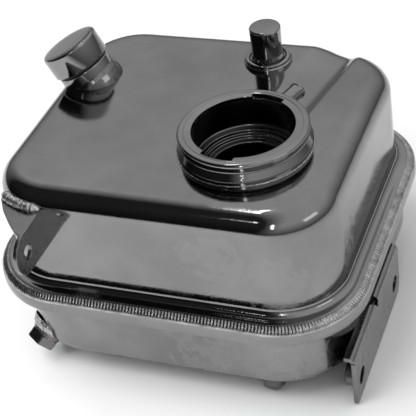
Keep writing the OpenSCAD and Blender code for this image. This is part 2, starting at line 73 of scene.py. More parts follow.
# flange and upper pressing
TANK_CENTRE = (-29.1, 19.1)
FLANGE_LENGTH = 173.0
FLANGE_DEPTH = 158.0
FLANGE_CORNER = 38.0
FLANGE_HALF_X = FLANGE_LENGTH / 2 - FLANGE_CORNER
FLANGE_HALF_Y = FLANGE_DEPTH / 2 - FLANGE_CORNER
SHEET = 1.5
WALL_TOP_RADIUS = 28.0
WALL_FOOT_RADIUS = 28.5
TOP_ROLL = 10.0
FOOT_DROP = 45.4
FOOT_RADIUS = 3.5
BEAD_RADIUS = 5.5
BEAD_CENTRE = FLANGE_CORNER - BEAD_RADIUS
BEAD_DROP = FOOT_DROP + FOOT_RADIUS + BEAD_RADIUS
SEAM_DROP = 57.0
# lower pressing
PAN_LEFT = -106.0
PAN_RIGHT = 50.9
PAN_FRONT = -53.4
PAN_BACK = 91.6
PAN_CORNER = 34.0
PAN_TOP = 50.6
PAN_ROLL = 6.0
PAN_DROP = 89.0
# filler neck
RIM_HEIGHT = 9.8
RIM_RADIUS = 28.5
NECK_FOOT = 29.4
NECK_WAIST = 27.0
OPENING = 22.2
NOTCH_RADIUS = 24.5
NOTCH_TURNS = (80.0, 260.0)
NOTCH_HALF = 19.0
THROAT = 23.5
SEAT_DROP = 10.2
SEAT_HOLE = 16.0
# overflow nipple
NIPPLE_TURN = 72.0
NIPPLE_HEIGHT = 4.0
NIPPLE_RADIUS = 3.5
NIPPLE_BORE = 2.6
NIPPLE_REACH = 40.4
# tilted port
PORT_BASE = (-92.7, 42.3, 0.0)
PORT_LEAN = 25.7
BOSS_RADIUS = 13.0
BOSS_RISE = 5.6
GASKET = 1.1
CAP_RADIUS = 14.1
CAP_HEIGHT = 11.3
# breather
BREATHER_BASE = (-10.8, 66.0, 0.0)
CAN_RADIUS = 7.4
CAN_TOP = 18.3
COLLAR_RADIUS = 11.2
# drain and outlet
DRAIN_POINT = (-93.1, -43.4, -86.9)
DRAIN_AXIS = (-0.5, -0.58, -0.643)
DRAIN_BOSS_RADIUS = 7.6
PLUG_FLATS = 13.0
PLUG_HEAD = 4.8
OUTLET_POINT = (16.4, -42.0, 0.0)
OUTLET_RADIUS = 5.2
OUTLET_BORE = 3.6
OUTLET_DROP = 99.0
# side bracket
PLATE = 2.0
SIDE_FACE = 55.4
BRACKET_TOP = -73.0
BRACKET_BOTTOM = -100.4
BRACKET_FRONT = -45.2
BRACKET_BACK = 32.0
BOLT_DROP = 90.7
BOLT_PLACES = (-36.2, 23.8)
BOLT_HOLE = 4.0
# front bracket
EAR_LEFT = 76.0
EAR_FRONT = -66.4
EAR_DROP = 17.2
EAR_RADIUS = 9.6
EAR_HOLE = 3.2

PORT_AXIS = (-math.sin(math.radians(PORT_LEAN)), 0.0, math.cos(math.radians(PORT_LEAN)))
UP = (0.0, 0.0, 1.0)
DOWN = (0.0, 0.0, -1.0)


def to_frame(points):
    """Tank millimetres to the shared frame's metres."""
    return np.asarray(points, float) * MM + np.array(TANK_ZERO)


# ---------------------------------------------------------------- mesh helpers
def make_mesh(name, points, faces, smooth_angle=35):
    """A mesh object from tank-millimetre points, shaded smooth except at sharp edges."""
    mesh = bpy.data.meshes.new(name)
    mesh.from_pydata([tuple(p) for p in to_frame(points)], [], [tuple(f) for f in faces])
    mesh.update()
    mesh.shade_smooth()
    mesh.set_sharp_from_angle(angle=math.radians(smooth_angle))
    obj = bpy.data.objects.new(name, mesh)
    bpy.context.scene.collection.objects.link(obj)
    return obj


def grid_faces(rows, columns, closed=True):
    """Quads between rows of points; closed joins the last column to the first."""
    faces = []
    last = columns if closed else columns - 1
    for i in range(rows - 1):
        for j in range(last):
            k = (j + 1) % columns
            near, far = i * columns, (i + 1) * columns
            faces.append((near + j, near + k, far + k, far + j))
    return faces


def arc(centre, radius, first, last, steps, begin=0):
    """Points along an arc between two angles in degrees. begin=1 leaves out the first one."""
    points = []
    for k in range(begin, steps + 1):
        a = math.radians(first + (last - first) * k / steps)
        points.append((centre[0] + radius * math.cos(a), centre[1] + radius * math.sin(a)))
    return points


def rounded_line(points, radii, steps=6, closed=False):
    """A line through the points with its corners rounded by the radii (one number or a list)."""
    points = [np.array(p, float) for p in points]
    count = len(points)
    if not hasattr(radii, "__len__"):
        radii = [radii] * count
    line = []
    for i, corner in enumerate(points):
        if radii[i] <= 0 or (not closed and i in (0, count - 1)):
            line.append(tuple(corner))
            continue
        before = points[i - 1] - corner
        after = points[(i + 1) % count] - corner
        length_before = np.linalg.norm(before)
        length_after = np.linalg.norm(after)
        before = before / length_before
        after = after / length_after
        half = math.acos(max(-1.0, min(1.0, float(before @ after)))) / 2
        if half > math.radians(88):
            line.append(tuple(corner))
            continue
        reach = min(radii[i] / math.tan(half), 0.48 * length_before, 0.48 * length_after)
        radius = reach * math.tan(half)
        middle = before + after
        middle = middle / np.linalg.norm(middle)
        centre = corner + middle * (radius / math.sin(half))
        start = corner + before * reach - centre
        end = corner + after * reach - centre
        turn = math.atan2(start[0] * end[1] - start[1] * end[0], float(start @ end))
        for k in range(steps + 1):
            a = turn * k / steps
            line.append(
                (
                    centre[0] + start[0] * math.cos(a) - start[1] * math.sin(a),
                    centre[1] + start[0] * math.sin(a) + start[1] * math.cos(a),
                )
            )
    return line


def axis_frame(axis):
    """Two unit vectors across an axis."""
    w = Vector(axis).normalized()
    helper = Vector((0, 0, 1)) if abs(w.z) < 0.9 else Vector((1, 0, 0))
    u = (helper - w * helper.dot(w)).normalized()
    return u, w.cross(u), w


def lathe(name, base, axis, profile, columns=160, change=None, smooth_angle=35):
    """Turns a profile of (radius, height) about an axis. change(radius, height, turn) may move
    a point, so that notches and lumps can be cut into the turned shape."""
    u, v, w = axis_frame(axis)
    if tuple(axis) == UP:
        u, v = Vector((1, 0, 0)), Vector((0, 1, 0))
    origin = np.array(base, float)
    points = []
    for radius, height in profile:
        for j in range(columns):
            turn = 2 * math.pi * j / columns
            r, h = (radius, height) if change is None else change(radius, height, turn)
            across = np.array(u) * math.cos(turn) + np.array(v) * math.sin(turn)
            points.append(origin + across * r + np.array(w) * h)
    faces = grid_faces(len(profile), columns)
    return make_mesh(name, points, faces, smooth_angle)


def plan_corners(half_x, half_y):
    """The arc centres of a rounded rectangle and the angle at which each arc starts."""
    return [
        (half_x, half_y, 0), (-half_x, half_y, 90),
        (-half_x, -half_y, 180), (half_x, -half_y, 270),
    ]


def rounded_path(half_x, half_y, straight_step, corner_step):
    """Stations round a rounded rectangle: (corner centre x, y, outward x, y), anticlockwise."""
    stations = []
    corners = plan_corners(half_x, half_y)
    turns = int(90 / corner_step)
    for i, (cx, cy, start) in enumerate(corners):
        for k in range(turns + 1):
            a = math.radians(start + 90 * k / turns)
            stations.append((cx, cy, math.cos(a), math.sin(a)))
        nx, ny, _ = corners[(i + 1) % 4]
        a = math.radians(start + 90)
        length = math.hypot(nx - cx, ny - cy)
        pieces = max(1, int(length / straight_step))
        for k in range(1, pieces):
            t = k / pieces
            stations.append((cx + (nx - cx) * t, cy + (ny - cy) * t, math.cos(a), math.sin(a)))
    return stations


def smoothstep(low, high, value):
    """0 below low, 1 above high, and a soft climb between."""
    t = min(1.0, max(0.0, (value - low) / (high - low)))
    return t * t * (3 - 2 * t)


def circle_loop(x, y, radius, count=48):
    """Points round a circle."""
    turns = [2 * math.pi * k / count for k in range(count)]
    return [(x + radius * math.cos(a), y + radius * math.sin(a)) for a in turns]


def plate_outline(name, outline, holes, thickness, edge, place):
    """A flat plate with holes and softly rounded edges, made as a filled curve. place(x, y, z)
    turns the plate's own millimetres into tank millimetres."""
    curve = bpy.data.curves.new(name, "CURVE")
    curve.dimensions = "2D"
    curve.fill_mode = "BOTH"
    curve.extrude = (thickness / 2 - edge) * MM
    curve.bevel_depth = edge * MM
    curve.bevel_resolution = 3
    for loop in [outline] + [circle_loop(x, y, r + edge) for x, y, r in holes]:
        spline = curve.splines.new("POLY")
        spline.points.add(len(loop) - 1)
        for point, (x, y) in zip(spline.points, loop):
            point.co = (x * MM, y * MM, 0, 1)
        spline.use_cyclic_u = True
    holder = bpy.data.objects.new(name + "_curve", curve)
    bpy.context.scene.collection.objects.link(holder)
    bpy.context.view_layer.update()
    depsgraph = bpy.context.evaluated_depsgraph_get()
    made = bpy.data.meshes.new_from_object(holder.evaluated_get(depsgraph))
    points = [place(p.co.x / MM, p.co.y / MM, p.co.z / MM) for p in made.vertices]
    faces = [tuple(f.vertices) for f in made.polygons]
    bpy.data.objects.remove(holder)
    bpy.data.meshes.remove(made)
    return points, faces


def join_parts(parts):
    """One list of points and faces from several."""
    points, faces = [], []
    for part_points, part_faces in parts:
        start = len(points)
        points += [tuple(p) for p in part_points]
        faces += [tuple(i + start for i in f) for f in part_faces]
    return points, faces


def inset_loop(loop, edge):
    """The loop drawn in by the edge radius, because the curve's bevel adds it back."""
    count = len(loop)
    area = sum(loop[i - 1][0] * loop[i][1] - loop[i][0] * loop[i - 1][1] for i in range(count))
    side = 1 if area > 0 else -1
    drawn = []
    for i in range(count):
        a = np.array(loop[i - 1])
        b = np.array(loop[(i + 1) % count])
        along = b - a
        along = along / (np.linalg.norm(along) or 1)
        drawn.append(tuple(np.array(loop[i]) + side * edge * np.array([-along[1], along[0]])))
    return drawn


# ---------------------------------------------------------------- pressed top
VALLEY_LINE = 28.4
VALLEY_BACK = 88.1
VALLEY_TURN = 9.0
VALLEY_REACH = 95.0
RIDGE_REACH = 88.0
VALLEY_ACROSS = [-24.0, -20.0, -14.7, -10.5, -6.4, -3.6, -2.2, 0.0]
VALLEY_LEVEL = [0.0, -0.1, -1.8, -3.8, -5.1, -5.6, -5.6, -5.6]
RISE_START = -5.5
RISE_WIDTH = 6.6
RIDGE_LEVEL = -3.3
NECK_CALM_RADIUS = 30.5
NECK_CALM_WIDTH = 5.0
VALLEY_FRONT = (-20.0, 12.0)
PRESSED_WALL = (-40.0, -12.0)
RIPPLE_END = (-49.0, -46.0)
SOFTENING = 0.9


def pressed_level(x, y):
    """How far the pressed valley and the plateau beside it lower the plate at a point."""
    away = VALLEY_BACK - y
    line = VALLEY_LINE - away * math.tan(math.radians(VALLEY_TURN))
    across = x - line
    valley_fade = max(0.0, 1.0 - away / VALLEY_REACH) ** 0.5
    ridge_fade = max(0.0, 1.0 - away / RIDGE_REACH) ** 2.2
    valley = float(np.interp(across, VALLEY_ACROSS, VALLEY_LEVEL)) * valley_fade
    ridge = RIDGE_LEVEL * ridge_fade
    calm = smoothstep(NECK_CALM_RADIUS, NECK_CALM_RADIUS + NECK_CALM_WIDTH, math.hypot(x, y))
    rise = min(1.0, max(0.0, (across - RISE_START) / RISE_WIDTH)) ** 2
    front = smoothstep(*VALLEY_FRONT, y)
    return valley * calm * front * (1 - rise) + ridge * rise


def soft_pressed_level(x, y):
    """The mean of the pressed level over nine close points, which softens its creases."""
    total = 0.0
    for dx in (-SOFTENING, 0.0, SOFTENING):
        for dy in (-SOFTENING, 0.0, SOFTENING):
            total += pressed_level(x + dx, y + dy)
    return total / 9


def upper_skin():
    """The upper pressing as one skin: top plate, rolled edge, walls, turned foot, bead and lip."""
    stations = rounded_path(FLANGE_HALF_X, FLANGE_HALF_Y, 2.0, 2.25)
    columns = len(stations)
    inner = WALL_TOP_RADIUS - TOP_ROLL
    rows = []
    hole = THROAT + SHEET - 0.4
    plate_rows = 46
    for i in range(plate_rows):
        t = i / plate_rows
        row = []
        for cx, cy, nx, ny in stations:
            x = TANK_CENTRE[0] + cx + nx * inner
            y = TANK_CENTRE[1] + cy + ny * inner
            length = math.hypot(x, y)
            start = hole / length
            s = start + (1 - start) * t
            row.append((x * s, y * s, 0.0))
        rows.append(row)
    section = arc((inner, -TOP_ROLL), TOP_ROLL, 90, 0, 14)
    wall_steps = 16
    for k in range(1, wall_steps + 1):
        t = k / wall_steps
        section.append(
            (
                WALL_TOP_RADIUS + (WALL_FOOT_RADIUS - WALL_TOP_RADIUS) * t,
                -TOP_ROLL - (FOOT_DROP - TOP_ROLL) * t,
            )
        )
    section += arc((WALL_FOOT_RADIUS + FOOT_RADIUS, -FOOT_DROP), FOOT_RADIUS, 180, 270, 8, begin=1)
    section += arc((BEAD_CENTRE, -BEAD_DROP), BEAD_RADIUS, 90, 0, 14)
    lip = rounded_line(
        [
            (FLANGE_CORNER, -BEAD_DROP - 0.8),
            (FLANGE_CORNER, -SEAM_DROP),
            (FLANGE_CORNER - SHEET, -SEAM_DROP),
            (FLANGE_CORNER - SHEET, -SEAM_DROP + 2),
        ],
        0.45,
        steps=4,
    )
    section += lip
    for radius, height in section:
        rows.append(
            [
                (TANK_CENTRE[0] + cx + nx * radius, TANK_CENTRE[1] + cy + ny * radius, height)
                for cx, cy, nx, ny in stations
            ]
        )
    points = []
    for row in rows:
        for x, y, z in row:
            weight = smoothstep(*PRESSED_WALL, z)
            drop = soft_pressed_level(x, y) * weight if weight > 0 else 0.0
            ripple = noise.noise(Vector((x, y, z)) * 0.035) * 0.10
            ripple += noise.noise(Vector((x + 40, y, z)) * 0.09) * 0.03
            calm = smoothstep(*RIPPLE_END, z)
            points.append((x, y, z + drop + ripple * calm * (0.5 if z > -1 else 0.2)))
    return make_mesh("upper_shell_skin", points, grid_faces(len(rows), columns), 50)


def lower_skin():
    """The lower pressing: turned lip under the bead, pan wall, rolled bottom edge and floor."""
    parts = []
    stations = rounded_path(FLANGE_HALF_X, FLANGE_HALF_Y, 3.0, 3.0)
    section = rounded_line(
        [
            (FLANGE_CORNER - SHEET - 0.2, -SEAM_DROP + 1.5),
            (FLANGE_CORNER - SHEET + 1.0, -SEAM_DROP - 0.25),
            (FLANGE_CORNER - SHEET + 1.0, -SEAM_DROP - 1.5),
            (FLANGE_CORNER - 3.1, -SEAM_DROP - 1.5),
            (FLANGE_CORNER - 3.1, -SEAM_DROP + 2.4),
            (BEAD_CENTRE - 6.0, -BEAD_DROP + 4.0),
        ],
        [0, 0.3, 0.6, 0.6, 2.0, 0],
        steps=5,
    )
    points = [
        (TANK_CENTRE[0] + cx + nx * r, TANK_CENTRE[1] + cy + ny * r, z)
        for r, z in section
        for cx, cy, nx, ny in stations
    ]
    parts.append((points, grid_faces(len(section), len(stations))))
    middle = ((PAN_LEFT + PAN_RIGHT) / 2, (PAN_FRONT + PAN_BACK) / 2)
    half_x = (PAN_RIGHT - PAN_LEFT) / 2 - PAN_CORNER
    half_y = (PAN_BACK - PAN_FRONT) / 2 - PAN_CORNER
    stations = rounded_path(half_x, half_y, 3.0, 3.0)
    wall_steps = 12
    section = [
        (PAN_CORNER, -PAN_TOP - (PAN_DROP - PAN_ROLL - PAN_TOP) * k / wall_steps)
        for k in range(wall_steps + 1)
    ]
    section += arc((PAN_CORNER - PAN_ROLL, -PAN_DROP + PAN_ROLL), PAN_ROLL, 0, -90, 10, begin=1)
    section += [(PAN_CORNER - PAN_ROLL - step, -PAN_DROP) for step in (2, 8, 16)]
    points = []
    for r, z in section:
        for cx, cy, nx, ny in stations:
            x = middle[0] + cx + nx * r
            y = middle[1] + cy + ny * r
            dent = noise.noise(Vector((x, y, z)) * 0.045) * 0.22
            dent += noise.noise(Vector((x, y + 30, z)) * 0.13) * 0.05
            points.append((x + nx * dent, y + ny * dent, z))
    columns = len(stations)
    faces = grid_faces(len(section), columns)
    last = (len(section) - 1) * columns
    faces.append(tuple(last + j for j in range(columns)))
    parts.append((points, faces))
    points, faces = join_parts(parts)
    return make_mesh("lower_shell_skin", points, faces, 50)


def seam_weld_skin():
    """The ground seam weld on the bead: close ripples that cross the bead's outer slope."""
    middle, half_arc = 45.0, 27.0
    pitch = 1.5
    steps_per_ripple = 6
    across = 11
    base_height, ripple_height, lump_height, edge_sink = 0.14, 0.30, 0.12, 0.05
    stations = []
    corner_length = math.radians(90) * FLANGE_CORNER
    total = 2 * (2 * FLANGE_HALF_X + 2 * FLANGE_HALF_Y) + 4 * corner_length
    ripples = round(total / pitch)
    columns = ripples * steps_per_ripple
    corners = plan_corners(FLANGE_HALF_X, FLANGE_HALF_Y)
    for j in range(columns):
        s = total * j / columns
        for i, (cx, cy, start) in enumerate(corners):
            if s <= corner_length:
                a = math.radians(start + 90 * s / corner_length)
                stations.append((cx, cy, math.cos(a), math.sin(a)))
                break
            s -= corner_length
            nx, ny, _ = corners[(i + 1) % 4]
            length = math.hypot(nx - cx, ny - cy)
            if s <= length:
                t = s / length
                a = math.radians(start + 90)
                stations.append((cx + (nx - cx) * t, cy + (ny - cy) * t, math.cos(a), math.sin(a)))
                break
            s -= length
    points = []
    for k in range(across):
        t = 2 * k / (across - 1) - 1
        a = math.radians(middle - half_arc * t)
        shoulder = 1 - t * t * t * t
        for j, (cx, cy, nx, ny) in enumerate(stations):
            phase = j / steps_per_ripple + 0.35 * t * t
            wave = abs(math.sin(math.pi * phase))
            lump = lump_height * noise.noise(Vector((j * 0.11, t, 3.0)))
            height = shoulder * (base_height + ripple_height * wave + lump)
            height -= edge_sink * (1 - shoulder)
            r = BEAD_RADIUS + height
            out = BEAD_CENTRE + r * math.cos(a)
            points.append(
                (
                    TANK_CENTRE[0] + cx + nx * out,
                    TANK_CENTRE[1] + cy + ny * out,
                    -BEAD_DROP + r * math.sin(a),
                )
            )
    return make_mesh("seam_weld_ripples", points, grid_faces(across, columns), 75)


# ---------------------------------------------------------------- filler neck
def neck_pieces():
    under = RIM_HEIGHT - 2.2
    neck = lathe(
        "filler_neck_skin",
        (0, 0, 0),
        UP,
        rounded_line(
            [
                (NECK_FOOT + 0.1, -0.4), (NECK_FOOT + 0.05, 1.9), (NECK_WAIST + 0.4, 5.2),
                (NECK_WAIST + 0.4, under), (THROAT + 1.8, under), (THROAT + 1.8, 1.0),
            ],
            [0, 1.8, 1.9, 0.2, 0.2, 0],
            steps=8,
        ),
        columns=220,
    )

    def notched(radius, height, turn):
        degrees = math.degrees(turn)
        if radius > NOTCH_RADIUS:
            return radius, height
        for middle in NOTCH_TURNS:
            off = abs((degrees - middle + 180) % 360 - 180)
            opened = 1 - smoothstep(NOTCH_HALF - 1.2, NOTCH_HALF + 0.4, off)
            if opened > 0:
                return radius + (NOTCH_RADIUS + (radius - OPENING) * 0.25 - radius) * opened, height
        return radius, height

    lip = RIM_RADIUS - 1.3
    rim = lathe(
        "filler_rim_skin",
        (0, 0, 0),
        UP,
        rounded_line(
            [
                (lip, under + 0.2), (lip, under - 1.3), (RIM_RADIUS, under - 1.3),
                (RIM_RADIUS, RIM_HEIGHT),
                (25.75, RIM_HEIGHT), (25.55, RIM_HEIGHT - 0.14), (25.3, RIM_HEIGHT - 0.03),
                (OPENING, RIM_HEIGHT - 0.12), (OPENING, under), (lip, under),
            ],
            [0, 0.3, 0.9, 1.5, 0.15, 0.1, 0.15, 0.45, 0.4, 0],
            steps=6,
        ),
        columns=360,
        change=notched,
    )
    throat = lathe(
        "filler_throat_skin",
        (0, 0, 0),
        UP,
        rounded_line(
            [
                (THROAT + 1.4, under), (THROAT, under), (THROAT, -6.2), (20.6, -6.8), (20.3, -8.2),
                (18.8, -8.6), (18.5, -9.8), (SEAT_HOLE, -SEAT_DROP), (SEAT_HOLE, -SEAT_DROP - SHEET),
                (19.8, -SEAT_DROP - 1.2), (THROAT, -8.4), (THROAT + SHEET, -7.0),
            ],
            [0, 0.3, 1.2, 0.7, 0.6, 0.7, 0.6, 0.6, 0.5, 0.5, 0.5, 0],
            steps=5,
        ),
        columns=200,
    )

    def bead_lumps(radius, height, turn):
        wobble = 0.05 * noise.noise(Vector((math.cos(turn) * 12, math.sin(turn) * 7, height)))
        return radius + wobble, height

    weld = lathe(
        "neck_weld_skin",
        (0, 0, 0),
        UP,
        [
            (NECK_FOOT + 0.1 + 0.36 * math.cos(a), 0.36 * math.sin(a))
            for a in [math.radians(-20 + 14 * k) for k in range(13)]
        ],
        columns=260,
        change=bead_lumps,
    )
    turn = math.radians(NIPPLE_TURN)
    nipple_axis = (math.cos(turn), math.sin(turn), 0.0)
    nipple = lathe(
        "overflow_nipple_skin",
        (0, 0, NIPPLE_HEIGHT),
        nipple_axis,
        rounded_line(
            [
                (NIPPLE_RADIUS, 25.4), (NIPPLE_RADIUS, NIPPLE_REACH - 2.0),
                (NIPPLE_RADIUS + 0.4, NIPPLE_REACH - 1.4), (NIPPLE_RADIUS + 0.3, NIPPLE_REACH - 0.5),
                (NIPPLE_RADIUS - 0.1, NIPPLE_REACH), (NIPPLE_BORE, NIPPLE_REACH), (NIPPLE_BORE, 23.6),
            ],
            [0, 0.5, 0.4, 0.3, 0.3, 0.3, 0],
            steps=5,
        ),
        columns=72,
    )
    return [
        (neck, "filler_neck", "tank", "polished_steel"),
        (rim, "filler_rim", "tank", "polished_steel"),
        # the throat takes a darker grey: painted shade inside the neck
        (throat, "filler_throat", "tank", "polished_steel", "inside"),
        (weld, "neck_weld", "tank", "weld_metal"),
        (nipple, "overflow_nipple", "tank", "polished_steel"),
    ]


# ---------------------------------------------------------------- tilted port and breather
THREAD_LENGTH = 10.0
THREAD_STEP = 0.25


def thread_profile(radius, depth, steps_per_pitch, start):
    """The ridged side of a screw, as (radius, height) upwards from start."""
    profile = []
    for k in range(int(THREAD_LENGTH / THREAD_STEP) + 1):
        dip = 0.5 - 0.5 * math.cos(2 * math.pi * k / steps_per_pitch)
        profile.append((radius - depth * dip, start + k * THREAD_STEP))
    return profile


def port_pieces():
    boss = lathe(
        "port_boss_skin",
        PORT_BASE,
        PORT_AXIS,
        rounded_line(
            [(BOSS_RADIUS, -8), (BOSS_RADIUS, BOSS_RISE), (9.06, BOSS_RISE), (9.06, -8)],
            [0, 0.7, 0.4, 0],
            steps=6,
        ),
        columns=180,
    )

    def flare_lumps(radius, height, turn):
        wobble = noise.noise(Vector((math.cos(turn) * 9, math.sin(turn) * 9, height * 0.6)))
        near = smoothstep(BOSS_RADIUS - 0.1, BOSS_RADIUS + 1.2, radius)
        return radius + near * 0.07 * wobble, height

    flare = lathe(
        "port_weld_skin",
        PORT_BASE,
        PORT_AXIS,
        rounded_line(
            [
                (BOSS_RADIUS - 0.2, 1.2), (BOSS_RADIUS + 0.3, 0.5), (BOSS_RADIUS + 1.0, -1.2),
                (BOSS_RADIUS + 1.5, -4.0), (BOSS_RADIUS + 1.8, -7.6),
            ],
            2.0,
            steps=6,
        ),
        columns=240,
        change=flare_lumps,
    )
    under = BOSS_RISE + GASKET
    cap = lathe(
        "port_cap_skin",
        PORT_BASE,
        PORT_AXIS,
        rounded_line(
            [
                (0.01, under), (CAP_RADIUS, under), (CAP_RADIUS, under + CAP_HEIGHT),
                (CAP_RADIUS - 4, under + CAP_HEIGHT), (0.01, under + CAP_HEIGHT),
            ],
            [0, 0.7, 1.2, 0, 0],
            steps=8,
        ),
        columns=200,
    )
    spigot_end = under - THREAD_LENGTH
    spigot = lathe(
        "port_cap_spigot",
        PORT_BASE,
        PORT_AXIS,
        thread_profile(8.94, 0.45, 8, spigot_end)
        + [(6.5, under), (6.5, spigot_end), (8.4, spigot_end)],
        columns=96,
        smooth_angle=50,
    )
    collar = lathe(
        "breather_collar_skin",
        BREATHER_BASE,
        UP,
        rounded_line(
            [
                (COLLAR_RADIUS, -0.3), (COLLAR_RADIUS, 1.0), (COLLAR_RADIUS - 0.7, 1.5),
                (COLLAR_RADIUS - 0.9, 2.7), (COLLAR_RADIUS - 2.4, 3.0), (COLLAR_RADIUS - 2.9, 1.9),
                (5.1, 1.9), (5.1, -4),
            ],
            [0, 0.4, 0.3, 0.7, 0.7, 0.6, 0.2, 0],
            steps=6,
        ),
        columns=180,
    )
    can = lathe(
        "breather_can_skin",
        BREATHER_BASE,
        UP,
        rounded_line(
            [
                (0.01, 2.15), (CAN_RADIUS + 0.4, 2.15), (CAN_RADIUS + 0.3, 3.0),
                (CAN_RADIUS - 0.25, 4.6), (CAN_RADIUS - 0.3, 9.0), (CAN_RADIUS - 0.05, CAN_TOP),
                (0.01, CAN_TOP),
            ],
            [0, 0.3, 0.8, 3.0, 3.0, 1.0, 0],
            steps=8,
        ),
        columns=160,
    )
    return [
        (boss, "port_boss", "tank", "polished_steel"),
        (flare, "port_weld", "tank", "weld_metal", "flare"),
        (cap, "port_cap", "cap", "polished_steel"),
        (spigot, None, "cap", "polished_steel"),
        (collar, "breather_collar", "tank", "polished_steel"),
        (can, "breather_can", "breather", "polished_steel"),
    ]


# ---------------------------------------------------------------- drain and outlet
def drain_pieces():
    boss = lathe(
        "drain_boss_skin",
        DRAIN_POINT,
        DRAIN_AXIS,
        rounded_line(
            [(DRAIN_BOSS_RADIUS, -7), (DRAIN_BOSS_RADIUS, 1.0), (4.1, 1.0), (4.1, -7)],
            [0, 0.5, 0.2, 0],
            steps=5,
        ),
        columns=120,
    )

    def lumps(radius, height, turn):
        place = Vector((math.cos(turn) * 5, math.sin(turn) * 5, height))
        return radius + 0.3 * noise.noise(place), height

    weld = lathe(
        "drain_weld_skin",
        DRAIN_POINT,
        DRAIN_AXIS,
        rounded_line(
            [
                (DRAIN_BOSS_RADIUS - 0.1, 0.2), (DRAIN_BOSS_RADIUS + 1.1, -0.8),
                (DRAIN_BOSS_RADIUS + 1.9, -2.6), (DRAIN_BOSS_RADIUS + 2.4, -4.4),
            ],
            1.2,
            steps=5,
        ),
        columns=160,
        change=lumps,
    )
    half_flats = PLUG_FLATS / 2
    corner_radius = half_flats / math.cos(math.radians(30))
    corner_softening = 0.25
    flats_turn = 14
    seat = 2.0
    columns = 180
    u, v, w = axis_frame(DRAIN_AXIS)
    origin = np.array(DRAIN_POINT, float)
    rows = []
    # share of the radius, height above the seat, and whether the level is a full hexagon
    levels = [
        (0.80, 0.0, False), (1.0, 0.0, False), (1.0, 0.25, True), (1.0, PLUG_HEAD - 1.2, True),
        (1.0, PLUG_HEAD - 0.6, True), (1.0, PLUG_HEAD - 0.2, True), (0.86, PLUG_HEAD, False),
        (0.55, PLUG_HEAD, False), (0.48, PLUG_HEAD - 0.5, False), (0.02, PLUG_HEAD - 0.6, False),
    ]
    for scale, height, hexagonal in levels:
        for j in range(columns):
            turn = 2 * math.pi * j / columns
            local = (math.degrees(turn) - flats_turn + 360) % 60 - 30
            hexagon = half_flats / max(math.cos(math.radians(local)), 0.5)
            softened = min(hexagon, corner_radius - corner_softening)
            cone = half_flats + 0.35 + (PLUG_HEAD - height) * 1.5
            if hexagonal:
                radius = min(softened, cone)
            else:
                radius = min(softened, half_flats - 0.1) * scale
            across = np.array(u) * math.cos(turn) + np.array(v) * math.sin(turn)
            rows.append(origin + across * radius + np.array(w) * (seat + height))
    head = make_mesh("drain_plug_head", rows, grid_faces(len(levels), columns), 28)
    shank = lathe(
        "drain_plug_shank",
        DRAIN_POINT,
        DRAIN_AXIS,
        thread_profile(3.95, 0.35, 5, seat - THREAD_LENGTH),
        columns=72,
        smooth_angle=50,
    )
    stub = lathe(
        "outlet_stub_skin",
        OUTLET_POINT,
        DOWN,
        rounded_line(
            [
                (OUTLET_RADIUS, PAN_DROP - 4), (OUTLET_RADIUS, OUTLET_DROP - 1.5),
                (OUTLET_RADIUS - 1.2, OUTLET_DROP), (OUTLET_BORE, OUTLET_DROP),
                (OUTLET_BORE, PAN_DROP - 4),
            ],
            [0, 0.4, 0.3, 0.3, 0],
            steps=5,
        ),
        columns=96,
    )
    return [
        (boss, "drain_boss", "tank", "plain_steel"),
        (weld, "drain_weld", "tank", "weld_metal"),
        (head, "drain_plug", "plug", "plain_steel"),
        (shank, None, "plug", "plain_steel"),
        # the outlet stub takes the darker dull steel: painted shade under the pan
        (stub, "outlet_stub", "tank", "plain_steel", "dull_and_shaded"),
    ]


# ---------------------------------------------------------------- brackets
PLATE_EDGE = 0.35


